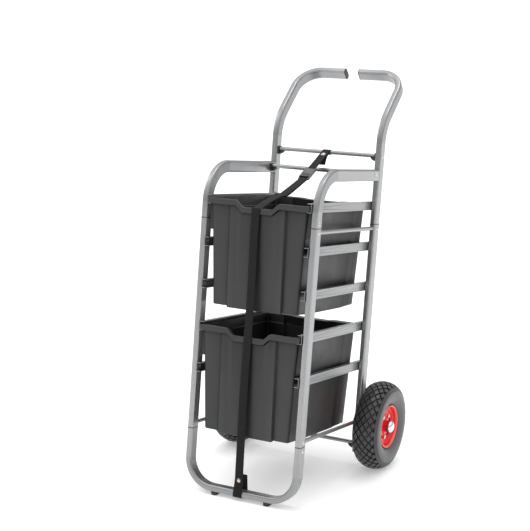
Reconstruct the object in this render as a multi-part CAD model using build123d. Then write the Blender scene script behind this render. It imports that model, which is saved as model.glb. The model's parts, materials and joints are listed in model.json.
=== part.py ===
from build123d import *
import math
import os

# Two-tray hand trolley: a leaning tubular frame on two pneumatic wheels, five pairs of
# runners, two deep trays and one webbing strap that holds the trays in.
#
# Everything is first built in the frame's own directions: X across, Y from the front posts
# to the rear posts, Z along the posts, with the ground passing through the origin under the
# front posts.  The whole trolley is then leaned back, and its origin is put at the middle of
# its bounding box on the ground.  The right-hand side is +X; left-hand pieces are mirrored.

# ---- frame ---------------------------------------------------------------------------
lean_angle = 8.05            # degrees that the posts lean back from upright
tube_deep = 34.0             # frame tube section, in the plane of a side frame
tube_thin = 18.5             # frame tube section, across the trolley
tube_corner = 6.0
tube_wall = 1.5
lower_joint = 179.0          # height of the joints between hoop and front posts
upper_joint = 774.2          # height of the joints under the top rails and handles
joint_gap = 2.4              # thickness of the plastic ring in each joint
ring_proud = 0.4             # how far a ring stands out of the tubes
hoop_height = 18.0           # centre of the hoop's bottom bar above the ground
hoop_bend = 78.0
top_rail_rise = 142.05       # top rail above the upper joints
top_rail_bend = 100.0
rear_post_end = 100.0        # lower end of the rear posts
knee_rise = 280.8            # where the handle turns back, above the upper joints
handle_reach = 144.4         # handle from the knee back to the grip
handle_rise = 155.0          # handle from the knee up to the grip
knee_bend = 120.0
grip_bend = 70.0
grip_gap = 42.0              # between the two grip ends
cap_flange = 3.0             # thickness of a tube end cap
cap_depth = 12.0             # how far an end cap goes into its tube
cap_round = 1.2
spigot_length = 60.0
slip_fit = 0.25              # clearance on each side of what slips into a tube

# ---- bars, rods and feet -------------------------------------------------------------
bar_diameter = 12.0
handle_bar_rise = 197.8      # handle cross bar above the upper joints
top_bar_rise = 145.8         # upper cross bar above the upper joints
top_bar_setback = 40.0       # upper cross bar in front of the rear posts' centre line
rear_bar_height = 121.6
rod_diameter = 11.5
rod_offset = 11.8            # side rods from the nearest joint ring
socket_length = 20.0
socket_above = 8.0
socket_below = 16.0
socket_plate = 4.0
gusset_reach = 14.0
gusset_width = 11.0
gusset_fullness = 0.35       # how full the gusset's round edge is
socket_round = 4.0
foot_length = 17.0
foot_width = 26.0
foot_corner = 5.0
foot_taper = 6.0             # degrees

# ---- fasteners -----------------------------------------------------------------------
screw_radius = 2.5
screw_head_radius = 4.6
screw_head_height = 2.8
screw_grip = 9.0
screw_from_ring = 12.0
hole_clearance = 0.1
rivet_radius = 2.0
rivet_head_radius = 3.6
rivet_head_height = 1.2
rivet_grip = 5.0

# ---- runners and trays ---------------------------------------------------------------
runner_count = 5
top_runner_rise = 52.7       # top runners above the upper joints
tray_gap = 54.0              # upper tray's base above the lower tray's rim
runner_height = 25.0
runner_depth = 13.0
runner_sheet = 1.5
runner_proud = 2.0           # runner ends in front of the front posts
stop_setback = 8.0           # rear stops behind the rear posts' centre line
rim_to_post = 3.85           # tray rims to the posts
tray_runners = (1, 4)        # runners that carry the upper and the lower tray
tray_width = 312.0
tray_length = 427.0
tray_depth = 300.0
tray_wall = 2.5
tray_proud = 9.2             # tray fronts ahead of the front posts
tray_corner = 16.0
body_corner = 22.0
rim_height = 15.4
rim_width = 9.0              # the rim's overhang over the tray's body
rear_overhang = 35.0         # the rim's overhang behind the body, which has a plumb rear wall
base_narrower = 28.0         # the base is this much narrower than the body at the rim
base_setback = 25.0          # front of the base behind the front of the rim
dip_depth = 18.0             # hand dip in the front rim
rear_dip_depth = 2.5         # shallow dip in the rear rim
dip_top = 132.0
dip_bottom = 92.0
fin_depth = 84.0             # corner fins, measured down from the rim
fin_sheet = 3.0
slide_clearance = 0.3

# ---- wheels --------------------------------------------------------------------------
wheel_radius = 130.0
tyre_width = 82.0
tyre_wall = 7.0
bead_radius = 60.0
bead_half_width = 28.0
shoulder_drop = 12.0         # tread shoulders inside the wheel's radius
shoulder_half_width = 34.0
wheel_clearance = 15.45      # rear post to tyre
rim_sheet = 2.2
rim_lip = 63.0
disc_offset = 15.0           # rim discs from the middle plane of the wheel
hub_radius = 17.0
hub_wall = 3.0
hub_half_length = 29.0
bearing_width = 10.0
axle_radius = 8.0
running_clearance = 0.05
bolt_radius = 3.0
bolt_circle = 33.0
bolt_count = 5
bolt_head = 3.5
bolt_turn = 36.0             # degrees from upright to the first bolt
hub_cap_radius = 18.5
hub_cap_height = 16.0
hub_cap_round = 12.0
spacer_radius = 12.0
axle_head = 5.0
tube_gap = 1.5               # inner tube inside the tyre
valve_radius = 3.2
valve_length = 15.0
valve_inset = 10.0           # valve stem inside the bead

# ---- strap ---------------------------------------------------------------------------
strap_width = 25.0
strap_sheet = 1.6
strap_slope = 30.3           # degrees down from the handle bar to the buckle
strap_to_buckle = 108.0      # along the strap
strap_stand_off = 0.9        # front run in front of the trays
strap_bend = 2.0             # over the rim of the upper tray
elbow_height = 286.0         # where the front run bends towards the hoop
# Slack between the buckle and the front rim: share of the way, share of the drop, radius.
slack_line = ((0.266, 0.36, 60.0), (0.474, 0.53, 60.0), (0.674, 0.58, 30.0))
# Last points before the rim: distance behind it, height above its dip, radius.
rim_approach = ((30.0, 10.0, 12.0), (9.0, 0.0, 8.0))
foot_loop_bend = 5.0
tail_bend = 12.0
tail_lean = 4.0              # loose end behind the hoop leans back by this
foot_loop_top = 48.0
foot_loop_tail = 74.0        # or less, to stay below the lower tray
tail_clearance = 6.0
seam_below_rim = 8.0         # where the front run starts to hang, under the rim's dip
seam_gap = 1.0               # half the gap between strap pieces that turn on each other
wrap_gap = 0.3
buckle_length = 62.0
buckle_width = 34.0
buckle_height = 8.0
buckle_floor = 1.6
buckle_side = 3.0
buckle_corner = 3.0
lever_side_gap = 1.0
lever_length = 44.0
lever_sheet = 3.0
pin_radius = 1.5
pin_y = 9.0                  # lever pin ahead of the buckle's rear edge
pin_z = 1.0                  # lever pin above the strap
stud_radius = 6.0
stud_height = 3.2
top_stud_at = 26.0           # along the strap from the handle bar
foot_stud_rise = 10.0        # above the foot loop's upper end

# ---- derived places ------------------------------------------------------------------
inner_face = tray_width / 2 + rim_to_post
outer_face = inner_face + tube_thin
side_plane = inner_face + tube_thin / 2
side_spacing = 2 * side_plane
half_gap = joint_gap / 2
front_face = -tube_deep / 2
tray_front = front_face - tray_proud
tray_back = tray_front + tray_length
runner_end = tray_back + slide_clearance + runner_sheet
post_pitch = runner_end - stop_setback
rear_face = post_pitch - tube_deep / 2
top_rail_height = upper_joint + top_rail_rise
knee_height = upper_joint + knee_rise
handle_bar_height = upper_joint + handle_bar_rise
top_bar_height = upper_joint + top_bar_rise
top_runner_height = upper_joint + top_runner_rise
runner_pitch = (tray_depth + tray_gap) / (tray_runners[1] - tray_runners[0])
shoulder_radius = wheel_radius - shoulder_drop
valve_circle = bead_radius - valve_inset
half_buckle = buckle_width / 2
lean = math.radians(lean_angle)
axle_height = (wheel_radius + post_pitch * math.sin(lean)) / math.cos(lean)
wheel_plane = outer_face + wheel_clearance + tyre_width / 2
grip_point = (post_pitch + handle_reach, knee_height + handle_rise)
handle_angle = math.atan2(handle_reach, handle_rise)


def mirrored(shape):
    """The same piece on the left-hand side."""
    return mirror(shape, about=Plane.YZ)


def group(shapes):
    """Several separate solids as one node."""
    solids = []
    for shape in shapes:
        solids.extend(shape.solids())
    return Compound(children=solids)


def slab(x_range, y_range, z_range):
    """A plain block between two corners."""
    size = [x_range[1] - x_range[0], y_range[1] - y_range[0], z_range[1] - z_range[0]]
    middle = [sum(x_range) / 2, sum(y_range) / 2, sum(z_range) / 2]
    return Pos(*middle) * Box(*size)


def rod_between(start, end, radius):
    """A round rod from one point to another."""
    start, end = Vector(*start), Vector(*end)
    base = Plane(origin=start, z_dir=end - start)
    return extrude(base * Circle(radius), (end - start).length)


# ---- frame tubes ---------------------------------------------------------------------
def tube_outline(shrink=0.0):
    """The frame tube's section, made smaller all round by shrink."""
    corner = tube_corner - shrink
    return RectangleRounded(tube_deep - 2 * shrink, tube_thin - 2 * shrink, corner)


def bent_tube(path):
    """A frame tube along a path that starts along a post."""
    base = Plane(origin=path @ 0, z_dir=path % 0, x_dir=(0, 1, 0))
    outside = sweep(base * tube_outline(), path=path)
    inside = sweep(base * tube_outline(tube_wall), path=path)
    return outside - inside


def straight_tube(y, low, high):
    """A right-hand frame tube along the posts, from one height to another."""
    base = Plane(origin=(side_plane, y, low), x_dir=(0, 1, 0), z_dir=(0, 0, 1))
    return extrude(base * (tube_outline() - tube_outline(tube_wall)), high - low)


def hoop_path():
    top = lower_joint - half_gap
    points = [
        (-side_plane, 0, top),
        (-side_plane, 0, hoop_height),
        (side_plane, 0, hoop_height),
        (side_plane, 0, top),
    ]
    return FilletPolyline(*points, radius=hoop_bend)


def top_rail_path():
    points = [
        (side_plane, 0, upper_joint + half_gap),
        (side_plane, 0, top_rail_height),
        (side_plane, rear_face, top_rail_height),
    ]
    return FilletPolyline(*points, radius=top_rail_bend)


def handle_path():
    points = [
        (side_plane, post_pitch, upper_joint + half_gap),
        (side_plane, post_pitch, knee_height),
        (side_plane, grip_point[0], grip_point[1]),
        (grip_gap / 2 + cap_flange, grip_point[0], grip_point[1]),
    ]
    return FilletPolyline(*points, radius=[knee_bend, grip_bend])


def spigot(y, height):
    """The inner sleeve that joins two tube ends."""
    low = height - spigot_length / 2
    base = Plane(origin=(side_plane, y, low), x_dir=(0, 1, 0), z_dir=(0, 0, 1))
    outside = tube_outline(tube_wall + slip_fit)
    inside = tube_outline(2 * tube_wall + slip_fit)
    return extrude(base * (outside - inside), spigot_length)


def joint_ring(y, height):
    """The thin plastic ring between two tube ends."""
    base = Plane(origin=(side_plane, y, height - half_gap), x_dir=(0, 1, 0), z_dir=(0, 0, 1))
    hole = tube_outline(tube_wall + slip_fit / 2)
    return extrude(base * (tube_outline(-ring_proud) - hole), joint_gap)


def end_cap(base):
    """A push-in cap: a flange over the tube's end and a plug inside it."""
    flange = extrude(base * tube_outline(), cap_flange)
    plug = extrude(base * tube_outline(tube_wall + slip_fit), -cap_depth)
    outer_edges = flange.faces().sort_by(Axis(base.origin, base.z_dir))[-1].edges()
    return fillet(outer_edges, cap_round) + plug


# ---- fasteners -----------------------------------------------------------------------
def side_screw(y, z):
    """A pan-head screw through the outer face of a right-hand tube."""
    base = Plane(origin=(outer_face, y, z), z_dir=(1, 0, 0))
    head = extrude(base * Circle(screw_head_radius), screw_head_height)
    head = fillet(head.faces().sort_by(Axis.X)[-1].edges(), screw_head_height * 0.6)
    return head + extrude(base * Circle(screw_radius), -screw_grip)


def side_hole(y, z, radius, depth, face=outer_face, direction=-1):
    """What is drilled from a side face of a right-hand tube."""
    base = Plane(origin=(face, y, z), z_dir=(direction, 0, 0))
    return extrude(base * Circle(radius + hole_clearance), depth)


joint_places = [(0, lower_joint), (0, upper_joint), (post_pitch, upper_joint)]
joint_screw_places = []
for joint_y, joint_z in joint_places:
    for step in (-screw_from_ring, screw_from_ring):
        joint_screw_places.append((joint_y, joint_z + step))

bar_places = {
    "handle_crossbar": (post_pitch, handle_bar_height),
    "top_crossbar": (post_pitch - top_bar_setback, top_bar_height),
    "rear_crossbar": (post_pitch, rear_bar_height),
}
runner_heights = [top_runner_height - n * runner_pitch for n in range(runner_count)]
rivet_places = []
for height in runner_heights:
    rivet_places.append((0, height))
    rivet_places.append((runner_end - tube_deep / 2 + runner_sheet, height))


def runner_rivet(y, z):
    """A dome-head rivet from inside a right-hand runner into its post."""
    face = inner_face - runner_sheet
    base = Plane(origin=(face, y, z), z_dir=(-1, 0, 0))
    head = extrude(base * Circle(rivet_head_radius), rivet_head_height)
    head = fillet(head.faces().sort_by(Axis.X)[0].edges(), rivet_head_height * 0.7)
    return head + extrude(base * Circle(rivet_radius), -rivet_grip)


def drilled(tube):
    """A right-hand tube with its screw and rivet holes."""
    box = tube.bounding_box()
    for places, radius, face, direction, depth in (
        (joint_screw_places, screw_radius, outer_face, -1, screw_grip + 1),
        (bar_places.values(), screw_radius, outer_face, -1, tube_thin),
        (rivet_places, rivet_radius, inner_face, 1, rivet_grip),
    ):
        for y, z in places:
            if box.min.Y < y < box.max.Y and box.min.Z < z < box.max.Z:
                tube = tube - side_hole(y, z, radius, depth, face, direction)
    return tube


# ---- bars, sockets, rods, feet -------------------------------------------------------
def crossbar(y, z):
    """A bar between the side frames, bored at each end for its screw."""
    bar = rod_between((-inner_face, y, z), (inner_face, y, z), bar_diameter / 2)
    bore_start = (inner_face - screw_grip, y, z)
    bore = rod_between(bore_start, (inner_face, y, z), screw_radius + hole_clearance)
    return bar - bore - mirrored(bore)


def bar_socket(y, z):
    """The plastic socket at the right-hand end of a cross bar, with its gusset underneath."""
    plate = slab(
        (inner_face - socket_plate, inner_face),
        (y - socket_length / 2, y + socket_length / 2),
        (z - socket_below, z + socket_above),
    )
    plate = fillet(plate.edges().filter_by(Axis.X), socket_round)
    root = inner_face - socket_plate
    tip = root - gusset_reach
    low = z - socket_below + socket_round / 4
    under_bar = z - bar_diameter / 2
    middle = (tip + gusset_reach * gusset_fullness, low + (under_bar - low) * gusset_fullness)
    edge = Curve() + [
        Line((root, low), (root, z)),
        Line((root, z), (tip, z)),
        Line((tip, z), (tip, under_bar)),
        ThreePointArc((tip, under_bar), middle, (root, low)),
    ]
    base = Plane(origin=(0, y + gusset_width / 2, 0), x_dir=(1, 0, 0), z_dir=(0, -1, 0))
    gusset = extrude(base * make_face(edge), gusset_width)
    bore = rod_between((0, y, z), (outer_face, y, z), bar_diameter / 2)
    return plate + gusset - bore


def bar_screw(y, z):
    """A pan-head screw through the whole tube into a cross bar."""
    base = Plane(origin=(outer_face, y, z), z_dir=(1, 0, 0))
    shank = extrude(base * Circle(screw_radius), -tube_thin - screw_grip + 1)
    return side_screw(y, z) + shank


def side_rod(height):
    """A round stay between the front and rear posts of the right-hand side."""
    start = (side_plane, -front_face, height)
    return rod_between(start, (side_plane, rear_face, height), rod_diameter / 2)


def foot(x):
    """A rubber pad under the hoop, flat on the ground and hollowed to fit the tube."""
    pad = RectangleRounded(foot_length, foot_width, foot_corner)
    pad = extrude(pad, hoop_height, taper=-foot_taper)
    upright = Pos(x, hoop_height * math.sin(lean), 0) * pad
    return Rot(lean_angle, 0, 0) * upright - hoop_bar_block() - above_hoop()


def hoop_bar_block():
    """The straight bottom bar of the hoop, as a full block."""
    base = Plane(origin=(-side_plane, 0, hoop_height), x_dir=(0, 1, 0), z_dir=(1, 0, 0))
    return extrude(base * tube_outline(), side_spacing)


def above_hoop():
    """Everything above the middle of the hoop's bottom bar."""
    reach = side_spacing
    return slab((-reach, reach), (-reach, reach), (hoop_height - tube_corner / 2, reach))


# ---- runners and trays ---------------------------------------------------------------
def runner(height):
    """A right-hand runner: a channel open to the inside, closed by a stop at the rear."""
    ends = (front_face - runner_proud, runner_end)
    low, high = height - runner_height / 2, height + runner_height / 2
    inside = inner_face - runner_depth
    channel = slab((inner_face - runner_sheet, inner_face), ends, (low, high))
    channel += slab((inside, inner_face), ends, (low, low + runner_sheet))
    channel += slab((inside, inner_face), ends, (high - runner_sheet, high))
    channel += slab((inside, inner_face), (runner_end - runner_sheet, runner_end), (low, high))
    for y in (rivet_places[0][0], rivet_places[1][0]):
        start = inner_face + runner_sheet / 2
        channel -= side_hole(y, height, rivet_radius, 2 * runner_sheet, start)
    return channel


def tray_outline(shrink, corner):
    """The rim's outline from above, made smaller all round by shrink."""
    return RectangleRounded(tray_width - 2 * shrink, tray_length - 2 * shrink, corner)


def tray_body(shrink, low, high):
    """The tapered body between two heights, made smaller all round by shrink."""
    fraction_low = -low / tray_depth
    fraction_high = -high / tray_depth
    sections = []
    for z, fraction in ((low, fraction_low), (high, fraction_high)):
        front = rim_width + (base_setback - rim_width) * fraction + shrink
        length = tray_length - rear_overhang - shrink - front
        width = tray_width - 2 * rim_width - base_narrower * fraction - 2 * shrink
        centre = Pos(0, front + length / 2, z)
        sections.append(centre * RectangleRounded(width, length, body_corner - shrink))
    return loft(sections)


def dip_outline(depth, drop, spread):
    """A dip's line across the rim, lowered by drop and widened by spread."""
    half_top, half_bottom = dip_top / 2 + spread, dip_bottom / 2 + spread
    return [
        (-half_top, -drop),
        (-half_bottom, -depth - drop),
        (half_bottom, -depth - drop),
        (half_top, -drop),
    ]


def dip_prism(points, start, depth):
    """A prism through the front rim from an outline in X and Z."""
    base = Plane(origin=(0, start + depth, 0), x_dir=(1, 0, 0), z_dir=(0, -1, 0))
    return extrude(base * make_face(Polyline(*points, close=True)), depth)


def end_dip(tray, depth, overhang):
    """The tray with a dip cut into its front rim and the rim carried round it."""
    taper = (base_setback - rim_width) / tray_depth
    reach = overhang + tray_wall + taper * (depth + tray_wall)
    raised = 1.0
    upper = dip_outline(depth, 0, 0)
    opening = [(-upper[3][0], raised)] + upper + [(upper[3][0], raised)]
    tray = tray - dip_prism(opening, -raised, reach + 2 * raised)
    shelf = upper + list(reversed(dip_outline(depth, tray_wall, tray_wall)))
    apron = upper + list(reversed(dip_outline(depth, rim_height, tray_wall)))
    return tray + dip_prism(shelf, 0, reach) + dip_prism(apron, 0, tray_wall)


def corner_fin(x_side):
    """The fin below the rim at a front corner, just ahead of the runner's end."""
    back = tray_proud - runner_proud - 2 * slide_clearance
    outer = x_side * (tray_width / 2 - slide_clearance)
    inner = x_side * (tray_width / 2 - rim_width - tray_wall - 2)
    x_range = (min(outer, inner), max(outer, inner))
    return slab(x_range, (back - fin_sheet, back), (-fin_depth, -tray_wall))


def tray(height):
    """An open tray with its rim top at the given height."""
    middle = Pos(0, tray_length / 2, 0)
    tray_solid = tray_body(0, -tray_depth, -tray_wall / 2)
    rim_plate = middle * Pos(0, 0, -tray_wall) * extrude(tray_outline(0, tray_corner), tray_wall)
    skirt = tray_outline(0, tray_corner) - tray_outline(tray_wall, tray_corner - tray_wall)
    tray_solid += rim_plate
    tray_solid += middle * Pos(0, 0, -rim_height) * extrude(skirt, rim_height)
    tray_solid -= tray_body(tray_wall, -tray_depth + tray_wall, tray_wall)
    tray_solid = end_dip(tray_solid, dip_depth, rim_width)
    turned_tray = end_dip(mirror_ends(tray_solid), rear_dip_depth, rear_overhang)
    tray_solid = mirror_ends(turned_tray)
    for x_side in (-1, 1):
        tray_solid += corner_fin(x_side)
    return Pos(0, tray_front, height) * tray_solid


def mirror_ends(shape):
    """The tray turned end for end."""
    return mirror(shape, about=Plane.XZ.offset(-tray_length / 2))


def tray_rim_height(runner_number):
    """The rim's top, when the rim rests on the runner's lower flange."""
    floor = runner_heights[runner_number - 1] - runner_height / 2 + runner_sheet
    return floor + slide_clearance + rim_height


# ---- wheels, in a frame with X outward along the axle --------------------------------
def turned(points):
    """A ring turned about the X axis from an outline of X and radius."""
    base = Plane(origin=(0, 0, 0), x_dir=(1, 0, 0), z_dir=(0, -1, 0))
    return revolve(base * make_face(Polyline(*points, close=True)), axis=Axis.X)


def tyre_line(shrink):
    """The tyre's outline from bead to bead, made smaller all round by shrink."""
    half = tyre_width / 2 - shrink
    bead = bead_half_width - shrink
    shoulder = (shoulder_half_width - shrink * 0.7, shoulder_radius - shrink * 0.7)
    waist = (half, (bead_radius + wheel_radius) / 2)
    crown = (0, wheel_radius - shrink)
    bead_top = rim_lip + slide_clearance
    return [
        Line((-bead, bead_radius), (-bead, bead_top)),
        ThreePointArc((-bead, bead_top), (-waist[0], waist[1]), (-shoulder[0], shoulder[1])),
        ThreePointArc((-shoulder[0], shoulder[1]), crown, shoulder),
        ThreePointArc(shoulder, waist, (bead, bead_top)),
        Line((bead, bead_top), (bead, bead_radius)),
        Line((bead, bead_radius), (-bead, bead_radius)),
    ]


def tyre():
    base = Plane(origin=(0, 0, 0), x_dir=(1, 0, 0), z_dir=(0, -1, 0))
    outside = revolve(base * make_face(Curve() + tyre_line(0)), axis=Axis.X)
    inside = revolve(base * make_face(Curve() + tyre_line(tyre_wall)), axis=Axis.X)
    return outside - inside


def inner_tube():
    """The air tube inside the tyre, with its valve through the outer rim disc."""
    middle = (bead_radius + wheel_radius - tyre_wall) / 2
    tall = (wheel_radius - tyre_wall - bead_radius) / 2 - tube_gap
    wide = bead_half_width
    base = Plane(origin=(0, 0, 0), x_dir=(1, 0, 0), z_dir=(0, -1, 0))
    ring = Ellipse(wide, tall) - Ellipse(wide - tube_gap, tall - tube_gap)
    ring = revolve(base * Pos(0, middle) * ring, axis=Axis.X)
    neck_start = middle - tall + tube_gap / 2
    turn = (0, 0, -valve_circle)
    end = (disc_offset + valve_length, 0, -valve_circle)
    neck = rod_between((0, 0, -neck_start), turn, valve_radius)
    stem = rod_between(turn, end, valve_radius)
    return ring + neck + Pos(*turn) * Sphere(valve_radius) + stem


def rim_half(side):
    """One pressed rim half: bead seat, lip and disc.  side is 1 outward and -1 inward."""
    seat = bead_radius - slide_clearance
    lip = bead_half_width + slide_clearance
    half = turned([
        (0, seat - rim_sheet),
        (0, seat),
        (side * lip, seat),
        (side * lip, rim_lip),
        (side * (lip + rim_sheet), rim_lip),
        (side * (lip + rim_sheet), seat - rim_sheet),
    ])
    hub = hub_radius if side < 0 else hub_radius + running_clearance
    hub = hub - hub_wall if side < 0 else hub
    half += turned([
        (side * disc_offset, hub),
        (side * disc_offset, seat - rim_sheet / 2),
        (side * (disc_offset + rim_sheet), seat - rim_sheet / 2),
        (side * (disc_offset + rim_sheet), hub),
    ])
    if side < 0:
        half += turned([
            (-hub_half_length, hub_radius - hub_wall),
            (-hub_half_length, hub_radius),
            (hub_half_length, hub_radius),
            (hub_half_length, hub_radius - hub_wall),
        ])
    valve_turn = (0, 0, -valve_circle)
    valve_hole = rod_between(valve_turn, (0, 0, -bead_radius - 1), valve_radius + hole_clearance)
    if side > 0:
        valve_end = (2 * disc_offset, 0, -valve_circle)
        valve_hole += rod_between(valve_turn, valve_end, valve_radius + hole_clearance)
    half -= valve_hole
    reach = 2 * disc_offset
    for place in bolt_turns():
        hole = rod_between((-reach, 0, bolt_circle), (reach, 0, bolt_circle), bolt_radius + hole_clearance)
        half -= place * hole
    return half


def bolt_turns():
    """The turns about the axle that place the rim bolts."""
    return [Rot(360 * number / bolt_count + bolt_turn, 0, 0) for number in range(bolt_count)]


def rim_bolts():
    """The bolts that hold the two rim halves together, with a head and a nut each."""
    outside = disc_offset + rim_sheet
    start = (-outside - bolt_head, 0, bolt_circle)
    shank = rod_between(start, (outside, 0, bolt_circle), bolt_radius)
    base = Plane(origin=(outside, 0, bolt_circle), z_dir=(1, 0, 0))
    head = extrude(base * RegularPolygon(2 * bolt_radius, 6), bolt_head)
    nut = Pos(-2 * outside - bolt_head, 0, 0) * head
    return group([place * (shank + head + nut) for place in bolt_turns()])


def bearings():
    """The two bearings pressed into the hub."""
    rings = []
    bore = axle_radius + running_clearance
    seat = hub_radius - hub_wall
    for side in (-1, 1):
        outer = side * hub_half_length
        inner = side * (hub_half_length - bearing_width)
        rings.append(turned([(outer, bore), (outer, seat), (inner, seat), (inner, bore)]))
    return group(rings)


def stub_axle():
    """The axle through the rear post, with a head on the inside."""
    head = (inner_face - axle_head - wheel_plane, inner_face - wheel_plane)
    end = hub_half_length + hub_cap_height / 2
    axle = rod_between((head[0], 0, 0), (end, 0, 0), axle_radius)
    return axle + rod_between((head[0], 0, 0), (head[1], 0, 0), spacer_radius)


def axle_spacer():
    """The spacer between the rear post and the hub."""
    start = outer_face - wheel_plane
    end = -hub_half_length - slide_clearance
    bore = rod_between((start, 0, 0), (end, 0, 0), axle_radius)
    return rod_between((start, 0, 0), (end, 0, 0), spacer_radius) - bore


def hub_cap():
    """The domed push-on cap at the axle's end."""
    start = hub_half_length + slide_clearance
    end = start + hub_cap_height
    drum = rod_between((start, 0, 0), (end, 0, 0), hub_cap_radius)
    dome = fillet(drum.faces().sort_by(Axis.X)[-1].edges(), hub_cap_round)
    bore = rod_between((0, 0, 0), (hub_half_length + hub_cap_height / 2, 0, 0), axle_radius)
    return dome - bore


def at_wheel(shape):
    return Pos(wheel_plane, post_pitch, axle_height) * shape


# ---- strap ---------------------------------------------------------------------------
def ribbon(points, radii, thickness=strap_sheet):
    """Webbing along a line of points in Y and Z, with round corners."""
    places = [(0, y, z) for y, z in points]
    line = FilletPolyline(*places, radius=radii) if radii else Line(*places)
    base = Plane(origin=line @ 0, z_dir=line % 0, x_dir=(1, 0, 0))
    return sweep(base * Rectangle(strap_width, thickness), path=line)


slope = math.radians(strap_slope)
forward = (-math.cos(slope), -math.sin(slope))
upward = (-math.sin(slope), math.cos(slope))
loop_radius = bar_diameter / 2 + wrap_gap + strap_sheet / 2
strap_start = (
    post_pitch + upward[0] * loop_radius,
    handle_bar_height + upward[1] * loop_radius,
)


def along_strap(distance, above=0.0):
    """A point on the sloping stretch of the strap, in Y and Z."""
    y = strap_start[0] + forward[0] * distance + upward[0] * above
    z = strap_start[1] + forward[1] * distance + upward[1] * above
    return (y, z)


def top_strap():
    """The loop round the handle bar and the stretch down to the buckle."""
    centre = Pos(-strap_width / 2, post_pitch, handle_bar_height) * Rot(0, 90, 0)
    outside = extrude(Circle(loop_radius + strap_sheet / 2), strap_width)
    inside = extrude(Circle(loop_radius - strap_sheet / 2), strap_width)
    run = ribbon([along_strap(0), along_strap(strap_to_buckle)], None)
    return centre * (outside - inside) + run


def buckle_place():
    """Buckle frame of reference: X across, Y forward along the strap, Z up off it."""
    y, z = along_strap(strap_to_buckle)
    return Plane(origin=(0, y, z), x_dir=(-1, 0, 0), z_dir=(0, upward[0], upward[1]))


def buckle_frame():
    low, high = -buckle_height / 2, buckle_height / 2
    body = slab((-half_buckle, half_buckle), (0, buckle_length), (low, high))
    body = fillet(body.edges().filter_by(Axis.Z), buckle_corner)
    inside = half_buckle - buckle_side
    along = (buckle_side, buckle_length - buckle_side)
    pocket = slab((-inside, inside), along, (low + buckle_floor, high + 1))
    bore = rod_between((-half_buckle, pin_y, pin_z), (half_buckle, pin_y, pin_z), pin_radius)
    return buckle_place() * (body - pocket - bore)


def buckle_pin():
    pin = rod_between((-half_buckle, pin_y, pin_z), (half_buckle, pin_y, pin_z), pin_radius)
    return buckle_place() * pin


def buckle_lever():
    """The cam lever, which turns on the pin."""
    half = half_buckle - buckle_side - lever_side_gap
    top = pin_z + lever_sheet / 2
    plate = slab((-half, half), (pin_y, pin_y + lever_length), (pin_z - lever_sheet / 2, top))
    barrel = rod_between((-half, pin_y, pin_z), (half, pin_y, pin_z), pin_radius + lever_sheet / 2)
    bore = rod_between((-half, pin_y, pin_z), (half, pin_y, pin_z), pin_radius + running_clearance)
    return buckle_place() * (plate + barrel - bore)


def stud(centre, direction):
    """A press stud with its domed cap."""
    base = Plane(origin=centre, z_dir=direction)
    disc = extrude(base * Circle(stud_radius), stud_height)
    top = disc.faces().sort_by(Axis(base.origin, base.z_dir))[-1]
    return fillet(top.edges(), stud_height * 0.7)


run_y = tray_front - strap_stand_off - strap_sheet / 2
dip_height = tray_rim_height(tray_runners[0]) - dip_depth
seam_z = dip_height - seam_below_rim
hoop_y = -tube_deep / 2 - wrap_gap - strap_sheet / 2


def tray_strap():
    """The slack stretch from the buckle over the upper tray to its front rim."""
    buckle_end = along_strap(strap_to_buckle + buckle_length + slide_clearance)
    rim = dip_height + strap_sheet / 2 + wrap_gap
    way, drop = buckle_end[0] - tray_front, buckle_end[1] - rim
    points = [buckle_end]
    radii = []
    for along, down, radius in slack_line:
        points.append((buckle_end[0] - along * way, buckle_end[1] - down * drop))
        radii.append(radius)
    for behind, above, radius in rim_approach:
        points.append((tray_front + behind, rim + above))
        radii.append(radius)
    points += [(run_y, rim), (run_y, seam_z + seam_gap)]
    return ribbon(points, radii + [strap_bend])


def foot_loop():
    """The webbing round the hoop, open at the front top, with its tail behind."""
    stand = -hoop_y
    tray_base = tray_rim_height(tray_runners[1]) - tray_depth
    low = hoop_height - tube_thin / 2 - wrap_gap - strap_sheet / 2
    points = [
        (-stand, foot_loop_top - slide_clearance),
        (-stand, low),
        (stand, low),
        (stand, hoop_height + tube_thin / 2),
        (stand + tail_lean, min(foot_loop_tail, tray_base - tail_clearance)),
    ]
    return ribbon(points, [foot_loop_bend, foot_loop_bend, tail_bend])


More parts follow.
